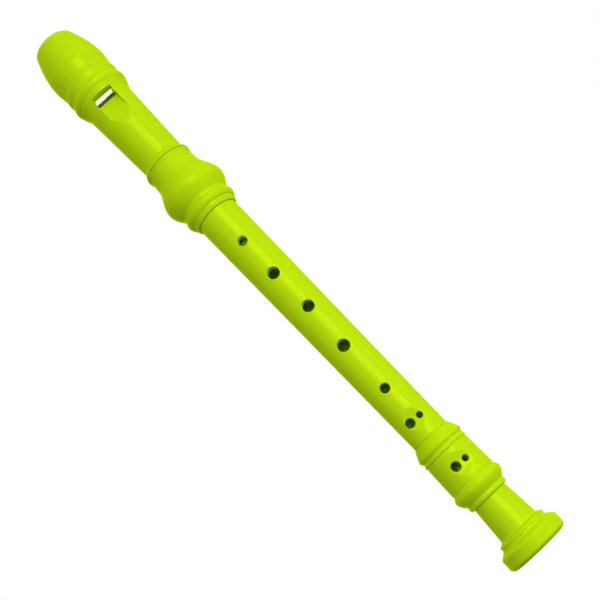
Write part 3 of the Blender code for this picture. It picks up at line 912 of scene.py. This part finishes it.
class RECORDER_OT_socket_barrel(Operator):
    """Model the barrel with its bulge, ring and mouth"""
    bl_idname = "recorder.socket_barrel"
    bl_label = "Socket barrel"

    def execute(self, context):
        barrel = context.scene.recorder_barrel
        out = Outline(COLLAR_RADIUS)
        out.dome(LIP, LIP_RADIUS)
        out.straight(NECK, NECK_RADIUS)
        out.bead(LINE, LINE_RISE, LINE_RADIUS)
        out.swell(BULGE_RISE, barrel.bulge_radius, lead=BULGE_LEAD)
        out.dome(BULGE_FALL, RUN_RADIUS)
        out.straight(RUN, RUN_RADIUS)
        out.bead(RING, barrel.ring_rise, RING_RADIUS)
        out.step(MOUTH_TOP_RADIUS)
        out.dome(MOUTH, MOUTH_RADIUS)
        out.stand_on(0.0)
        top = out.points[0][1]
        obj = turn_piece("barrel_moulding", [(SOCKET, top)] + out.points + [(SOCKET, 0.0)])
        leave_edit()
        spigot = SPIGOT_RADIUS + SPIGOT_FIT
        spigot_end = top + SEAM_GAP - SPIGOT_LENGTH - SPIGOT_END_GAP
        widened = SOCKET + SOCKET_CHAMFER
        carve(obj, bore_cutter([(spigot, top + CUT_OVER), (spigot, spigot_end), (SOCKET, spigot_end),
                                (SOCKET, SOCKET_CHAMFER), (widened, 0.0), (widened, -CUT_OVER)]))
        finish_piece(obj, "head", "socket_barrel", lime_plastic(), HEAD_TURN,
                     BARREL_MOUTH)
        return {"FINISHED"}


# Middle joint and its holes

MIDDLE_LENGTH = 139.3 * MM
MIDDLE_BORE_TOP, MIDDLE_BORE_END = mm(6.6, 4.9)
UPPER_TENON, UPPER_TENON_LENGTH = mm(8.3, 18.6)
LOWER_TENON, LOWER_TENON_LENGTH = mm(7.2, 12.4)

# How far each shoulder is drawn towards its seam, which the photo shows as a fine line
SEAM_CLOSING = 0.24 * MM

# Rows along the tube: the lowest, their spacing and number
TUBE_LOW, TUBE_ROW, TUBE_ROWS = 2.5 * MM, 4 * MM, 34

# Offset, height and diameter of holes 1 to 5 and of the thumb hole
FINGER_HOLES = (mm(0.0, 118.9, 4.6), mm(0.0, 98.1, 5.7), mm(0.9, 76.3, 5.7),
                mm(0.0, 52.7, 5.8), mm(0.0, 27.0, 4.5))
THUMB_HOLE, THUMB_LEAN = mm(0.0, 121.2, 5.3), radians(13.0)

# Doubled holes 6 and 7: heights, diameters, spacing and the land between
HOLE_6_HEIGHT, HOLE_7_HEIGHT = mm(9.0, 46.2)
PAIR_MAIN, PAIR_SMALL = mm(4.4, 2.9)
PAIR_SPACING, PAIR_LAND = mm(5.35, 0.375)

# Their dish: radius of its curve, softness of its edge, what it can reach, and its rows
DISH_CURVE, DISH_EDGE = mm(11.0, 0.35)
DISH_REACH, DISH_HALF_WIDTH = mm(6.2, 6)
DISH_ROW, DISH_ROWS = 0.33 * MM, 39


def dished_surface(outline, dish_height, depth):
    """How far a turned front stands out at (x, z), with the dish of a doubled hole sunk into it."""
    bottom = outline.radius_at(dish_height) - depth

    def surface(x, z):
        stands = sqrt(max(outline.radius_at(z) ** 2 - x ** 2, 0.0))
        along = abs(z - dish_height)
        if along >= DISH_CURVE:
            return stands
        dish = bottom + DISH_CURVE - sqrt(DISH_CURVE ** 2 - along ** 2)
        return soft_min(stands, dish, DISH_EDGE)

    return surface


def press_dish(obj, surface, dish_height):
    """Draw the front of a turned piece in to the dished surface."""

    def in_reach(vert):
        x, y, z = vert.co
        return y < 0 and abs(z - dish_height) < DISH_REACH and abs(x) < DISH_HALF_WIDTH

    pick(obj, "verts", in_reach)
    move_picked(obj, lambda co: Vector((co.x, -surface(co.x, co.z), co.z)))


def dish_rows(height):
    return [height + (i - DISH_ROWS // 2) * DISH_ROW for i in range(DISH_ROWS)]


def open_pair(obj, height, surface, radius):
    """The doubled hole: the main one lies left of the land, the small one right of it."""
    land = round(PAIR_LAND / radius / column_step())
    main = Hole(-PAIR_SPACING / 2, height, PAIR_MAIN)
    small = Hole(PAIR_SPACING / 2, height, PAIR_SMALL)
    open_hole(obj, main, surface, patch_columns(main, radius)[0], land)
    open_hole(obj, small, surface, land, patch_columns(small, radius)[1])


class RECORDER_OT_middle_joint(Operator):
    """Model the middle joint with its six finger holes, thumb hole and tenons"""
    bl_idname = "recorder.middle_joint"
    bl_label = "Middle joint"

    def execute(self, context):
        middle = context.scene.recorder_middle
        top = MIDDLE_LENGTH + UPPER_TENON_LENGTH
        out = Outline(UPPER_TENON - TENON_CHAMFER, top)
        out.straight(TENON_CHAMFER, UPPER_TENON)
        out.to(UPPER_TENON, MIDDLE_LENGTH + SEAM_CLOSING)
        out.step(middle.top_radius)
        out.to(middle.end_radius, -SEAM_CLOSING)
        out.step(LOWER_TENON)
        out.to(LOWER_TENON, TENON_CHAMFER - LOWER_TENON_LENGTH)
        out.straight(TENON_CHAMFER, LOWER_TENON - TENON_CHAMFER)
        holes = [Hole(*sizes) for sizes in FINGER_HOLES]
        holes.append(Hole(*THUMB_HOLE, side=1, lean=THUMB_LEAN))
        rows = dish_rows(HOLE_6_HEIGHT)
        for hole in holes:
            rows += patch_rows(hole)
        rows += [TUBE_LOW + i * TUBE_ROW for i in range(TUBE_ROWS)]
        out.add_rows(sorted(set(round(row, 6) for row in rows)))
        surface = dished_surface(out, HOLE_6_HEIGHT, middle.dish_depth)
        obj = turn_piece("middle_joint_moulding", out.points)
        press_dish(obj, surface, HOLE_6_HEIGHT)
        for hole in holes:
            left, right = patch_columns(hole, out.radius_at(hole.height))
            open_hole(obj, hole, surface, left, right)
        open_pair(obj, HOLE_6_HEIGHT, surface, out.radius_at(HOLE_6_HEIGHT))
        leave_edit()
        bottom = -LOWER_TENON_LENGTH
        carve(obj, bore_cutter([(MIDDLE_BORE_TOP, top + CUT_OVER), (MIDDLE_BORE_TOP, top),
                                (MIDDLE_BORE_END, bottom), (MIDDLE_BORE_END, bottom - CUT_OVER)]))
        finish_piece(obj, "middle", "middle_joint", lime_plastic(), 0.0,
                     FOOT_TOP + SEAM_GAP)
        return {"FINISHED"}


# Foot joint

# Rim, cone, ring, groove and bead at the socket
RIM_RADIUS, CONE = mm(9.5, 4.2)
FOOT_RING, FOOT_RING_RISE = mm(2.5, 0.475)
NICK, NICK_DEPTH = mm(0.6, 0.2)
BEAD, BEAD_RISE = mm(1.9, 0.58)

# Body with hole 7, step and swelling
BODY, BODY_RADIUS = mm(14.3, 11.3)
STEP, STEP_RADIUS = mm(0.3, 11.1)
SWELL_RISE, SWELL_RADIUS = mm(3.0, 12.35)
SWELL_FALL, SWELL_END_RADIUS = mm(4.5, 9.75)

# Bead, cove and neck above the bell
NECK_BEAD, NECK_BEAD_RISE = mm(2.2, 0.25)
NECK_COVE, NECK_TOP_RADIUS = mm(0.6, 8.45)
FOOT_NECK, NECK_END_RADIUS = mm(15.8, 9.55)

# Bell: cove, collar, flare, shoulder, side and rounded end
BELL_COVE, BELL_COVE_RADIUS = mm(1.5, 11.6)
BELL_COLLAR, BELL_COLLAR_RISE = mm(1.3, 0.2)
FLARE, FLARE_RADIUS = mm(2.4, 14.2)
SHOULDER, BELL_SIDE, BELL_END = mm(1.1, 4.3, 1.7)

# Inside: room round and past the tenon, then bore and mouth. The bore ends at (radius, height)
TENON_FIT, TENON_END_GAP = mm(0.2, 0.6)
FOOT_BORE_TOP, FOOT_BORE_END = 4.9 * MM, mm(5.1, 2.2)
BELL_MOUTH, BELL_MOUTH_CHAMFER = mm(7.2, 0.4)


class RECORDER_OT_foot_joint(Operator):
    """Model the foot joint with its rings, doubled hole and bell"""
    bl_idname = "recorder.foot_joint"
    bl_label = "Foot joint"

    def execute(self, context):
        scene = context.scene
        foot = scene.recorder_foot
        body = foot.body_radius
        out = Outline(RIM_RADIUS)
        out.straight(CONE, body + FOOT_RING_RISE)
        out.bead(FOOT_RING, FOOT_RING_RISE, body - NICK_DEPTH)
        out.straight(NICK, body - NICK_DEPTH)
        out.bead(BEAD, BEAD_RISE)
        out.straight(NICK, body)
        out.straight(BODY, BODY_RADIUS)
        out.straight(STEP, STEP_RADIUS)
        out.swell(SWELL_RISE, SWELL_RADIUS)
        out.dome(SWELL_FALL, SWELL_END_RADIUS)
        out.bead(NECK_BEAD, NECK_BEAD_RISE)
        out.cove(NECK_COVE, NECK_TOP_RADIUS)
        out.straight(FOOT_NECK, NECK_END_RADIUS)
        out.cove(BELL_COVE, BELL_COVE_RADIUS)
        out.bead(BELL_COLLAR, BELL_COLLAR_RISE)
        out.cove(FLARE, FLARE_RADIUS)
        out.dome(SHOULDER, foot.bell_radius)
        out.straight(BELL_SIDE, foot.bell_radius)
        out.dome(BELL_END, foot.bell_radius - BELL_END)
        out.stand_on(0.0)
        top = out.points[0][1]
        out.add_rows(dish_rows(HOLE_7_HEIGHT))
        surface = dished_surface(out, HOLE_7_HEIGHT, scene.recorder_middle.dish_depth)
        socket = LOWER_TENON + TENON_FIT
        edge = [(socket, top)] + out.points + [(BELL_MOUTH, 0.0)]
        obj = turn_piece("foot_joint_moulding", edge)
        press_dish(obj, surface, HOLE_7_HEIGHT)
        open_pair(obj, HOLE_7_HEIGHT, surface, out.radius_at(HOLE_7_HEIGHT))
        leave_edit()
        socket_floor = top + SEAM_GAP - LOWER_TENON_LENGTH - TENON_END_GAP
        widened = BELL_MOUTH + BELL_MOUTH_CHAMFER
        carve(obj, bore_cutter([(socket, top + CUT_OVER), (socket, socket_floor),
                                (FOOT_BORE_TOP, socket_floor), FOOT_BORE_END,
                                (BELL_MOUTH, BELL_MOUTH_CHAMFER), (widened, 0.0),
                                (widened, -CUT_OVER)]))
        finish_piece(obj, "foot", "foot_joint", lime_plastic(), FOOT_TURN, 0.0)
        return {"FINISHED"}


# Stage

FLOOR_SIZE = 8.0
FLOOR_GREY, FLOOR_GLOW = 0.3, 0.9

# The photo's camera: its place, its look upwards, the bore's slant in the picture, and its orbit
CAMERA_PLACE = mm(0.35, -440, 22)
CAMERA_PITCH = radians(15.8)
AXIS_ANGLE = atan2(0.6958, 0.7182)
CAMERA_ORBIT = radians(-1.3)


def area_lamp(name, place, target, width, height, brightness, mirrored=False, lights=True):
    """A soft box that faces a target. Its power follows from the brightness of its face.

    Only a mirrored one shows in the gloss. One that doesn't light is only a highlight.
    """
    light = bpy.data.lights.new(name, "AREA")
    light.shape = "RECTANGLE"
    light.size = width
    light.size_y = height
    light.energy = brightness * pi * width * height
    lamp = bpy.data.objects.new(name, light)
    bpy.context.scene.collection.objects.link(lamp)
    lamp.location = place
    lamp.rotation_euler = (Vector(target) - Vector(place)).to_track_quat("-Z", "Y").to_euler()
    lamp.visible_camera = False
    lamp.visible_glossy = mirrored
    lamp.visible_diffuse = lights
    return lamp


def light_only(lamp, piece):
    """Keep a lamp on one piece, as a snoot does."""
    lit = bpy.data.collections.new(f"lit_by_{lamp.name}")
    lit.objects.link(piece)
    lamp.light_linking.receiver_collection = lit


def around(azimuth, elevation, distance, height):
    """A place round the recorder: azimuth from the front towards the right, in degrees."""
    a, e = radians(azimuth), radians(elevation)
    return Vector((distance * cos(e) * sin(a), -distance * cos(e) * cos(a),
                   height + distance * sin(e)))


def shown_rays(nodes, links):
    """1 for camera, glossy and transmission rays, 0 for the rays that carry light."""
    path = nodes.new("ShaderNodeLightPath")
    shown = path.outputs["Is Camera Ray"]
    for kind in ("Is Glossy Ray", "Is Transmission Ray"):
        either = nodes.new("ShaderNodeMath")
        either.operation = "MAXIMUM"
        links.new(shown, either.inputs[0])
        links.new(path.outputs[kind], either.inputs[1])
        shown = either.outputs[0]
    return shown


class RECORDER_OT_stage(Operator):
    """Set the white floor, the soft lights, the world and the camera"""
    bl_idname = "recorder.stage"
    bl_label = "Stage"

    def execute(self, context):
        scene = context.scene
        stage = scene.recorder_stage
        bpy.ops.object.select_all(action="DESELECT")
        bpy.ops.mesh.primitive_plane_add(size=FLOOR_SIZE, location=(0, 0, 0))
        ground = context.object
        ground.name = "floor"
        material = bpy.data.materials.new("white_floor")
        material.use_nodes = True
        nodes, links = material.node_tree.nodes, material.node_tree.links
        shader = nodes["Principled BSDF"]
        shader.inputs["Base Color"].default_value = (FLOOR_GREY, FLOOR_GREY, FLOOR_GREY, 1.0)
        shader.inputs["Roughness"].default_value = 0.9
        shader.inputs["Specular IOR Level"].default_value = 0.0
        shader.inputs["Emission Color"].default_value = (1.0, 1.0, 1.0, 1.0)
        glow = nodes.new("ShaderNodeMath")
        glow.operation = "MULTIPLY"
        glow.inputs[1].default_value = FLOOR_GLOW
        links.new(shown_rays(nodes, links), glow.inputs[0])
        links.new(glow.outputs[0], shader.inputs["Emission Strength"])
        ground.data.materials.append(material)

        world = bpy.data.worlds.new("white_world")
        world.use_nodes = True
        scene.world = world
        nodes, links = world.node_tree.nodes, world.node_tree.links
        background = nodes["Background"]
        background.inputs["Color"].default_value = (1.0, 1.0, 1.0, 1.0)
        level = nodes.new("ShaderNodeMapRange")
        level.inputs["To Min"].default_value = stage.ambient
        level.inputs["To Max"].default_value = 1.0
        links.new(shown_rays(nodes, links), level.inputs["Value"])
        links.new(level.outputs["Result"], background.inputs["Strength"])

        middle = (0, 0, 0.16)
        area_lamp("key_light", around(42, 0, 0.8, 0.08), (0, 0, 0.1), 1.5, 0.8, stage.key)
        area_lamp("fill_light", around(0, 0, 1.2, 0.3), middle, 1.0, 0.8, stage.fill)
        area_lamp("low_light", around(45, 0, 0.28, 0.04), (0, 0, 0.04), 0.2, 0.06, stage.low)
        area_lamp("strip_light", around(22.5, 0, 1.3, 0.46), (0, 0, 0.46), 0.8, 0.94, stage.strip,
                  mirrored=True, lights=False)
        area_lamp("back_light", around(160, 10, 1.6, 0.3), middle, 0.9, 0.9, stage.back)
        window = (0, -FLOOR_OUT, BEAK_TIP - WINDWAY_LENGTH)
        snoot = area_lamp("window_light", (0.02, -0.19, 0.004), window, 0.04, 0.04, stage.snoot)
        light_only(snoot, bpy.data.objects["fipple_block"])

        data = bpy.data.cameras.new("camera")
        data.sensor_width = 36.0
        data.lens = stage.lens
        data.clip_start = 0.01
        data.clip_end = 20.0
        camera = bpy.data.objects.new("camera", data)
        scene.collection.objects.link(camera)
        orbit = Matrix.Rotation(CAMERA_ORBIT, 4, "Z")
        pitch = Matrix.Rotation(radians(90) + CAMERA_PITCH, 4, "X")
        roll = Matrix.Rotation(-AXIS_ANGLE, 4, "Z")
        camera.matrix_world = orbit @ Matrix.Translation(CAMERA_PLACE) @ pitch @ roll
        scene.camera = camera
        scene.view_settings.view_transform = "Standard"
        return {"FINISHED"}


# Add-on

SETTINGS = (
    ("recorder_plastic", PlasticSettings),
    ("recorder_turning", TurningSettings),
    ("recorder_head", HeadSettings),
    ("recorder_barrel", BarrelSettings),
    ("recorder_middle", MiddleSettings),
    ("recorder_foot", FootSettings),
    ("recorder_stage", StageSettings),
)
OPERATORS = (RECORDER_OT_head_joint, RECORDER_OT_block, RECORDER_OT_socket_barrel,
             RECORDER_OT_middle_joint, RECORDER_OT_foot_joint, RECORDER_OT_stage)


class RECORDER_PT_pieces(Panel):
    bl_idname = "RECORDER_PT_pieces"
    bl_label = "Recorder"
    bl_space_type = "VIEW_3D"
    bl_region_type = "UI"
    bl_category = "Recorder"

    def draw(self, context):
        layout = self.layout
        for operator in OPERATORS:
            layout.operator(operator.bl_idname)
        for name, group in SETTINGS:
            box = layout.box()
            for prop in group.__annotations__:
                box.prop(getattr(context.scene, name), prop)


def register():
    for name, group in SETTINGS:
        bpy.utils.register_class(group)
        setattr(bpy.types.Scene, name, PointerProperty(type=group))
    for operator in OPERATORS:
        bpy.utils.register_class(operator)
    bpy.utils.register_class(RECORDER_PT_pieces)


def unregister():
    bpy.utils.unregister_class(RECORDER_PT_pieces)
    for operator in reversed(OPERATORS):
        bpy.utils.unregister_class(operator)
    for name, group in reversed(SETTINGS):
        delattr(bpy.types.Scene, name)
        bpy.utils.unregister_class(group)


def main():
    register()
    bpy.ops.recorder.head_joint()
    bpy.ops.recorder.block()
    bpy.ops.recorder.socket_barrel()
    bpy.ops.recorder.middle_joint()
    bpy.ops.recorder.foot_joint()
    bpy.ops.recorder.stage()
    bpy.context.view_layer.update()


if __name__ == "__main__":
    main()
